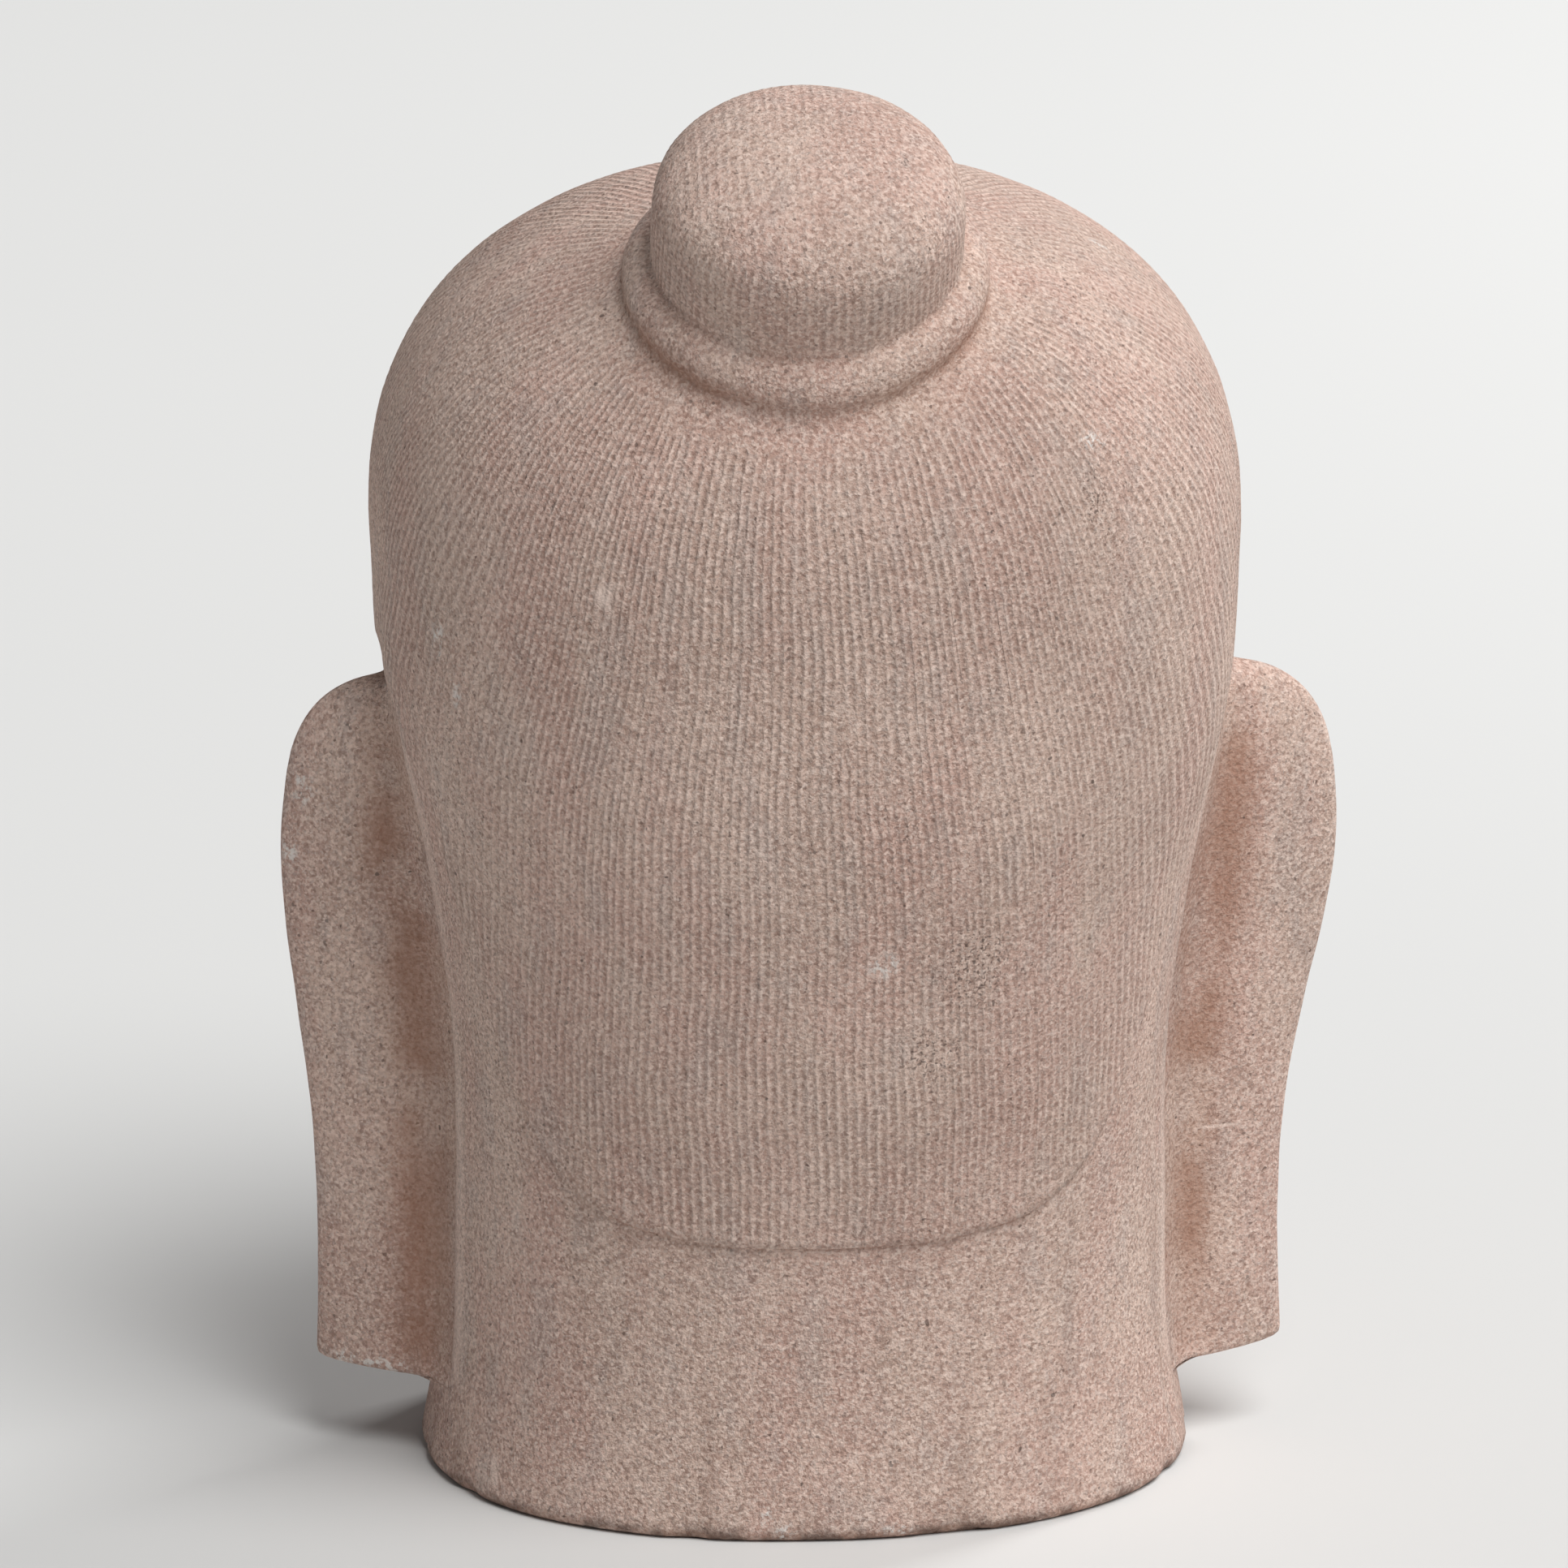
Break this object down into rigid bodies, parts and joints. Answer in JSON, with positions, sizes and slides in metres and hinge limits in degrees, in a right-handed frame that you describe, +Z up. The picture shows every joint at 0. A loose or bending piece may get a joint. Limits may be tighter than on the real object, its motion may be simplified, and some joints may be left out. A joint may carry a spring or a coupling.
{
  "type": "stone head sculpture",
  "caption": "Carved stone head with long ears and a round topknot, cut flat under the neck to stand as a bust.",
  "frame": {"origin": "on the flat cut under the neck, on the upright line that the head's sections are drawn round", "axes": "+Z up; the face looks along -Y; +X is the head's own left"},
  "size_m": [0.2584, 0.2297, 0.3513],
  "materials": {
    "sandstone": "dry carved pink sandstone"
  },
  "bodies": {
    "root": {"stone_head": "sandstone"}
  },
  "joints": []
}
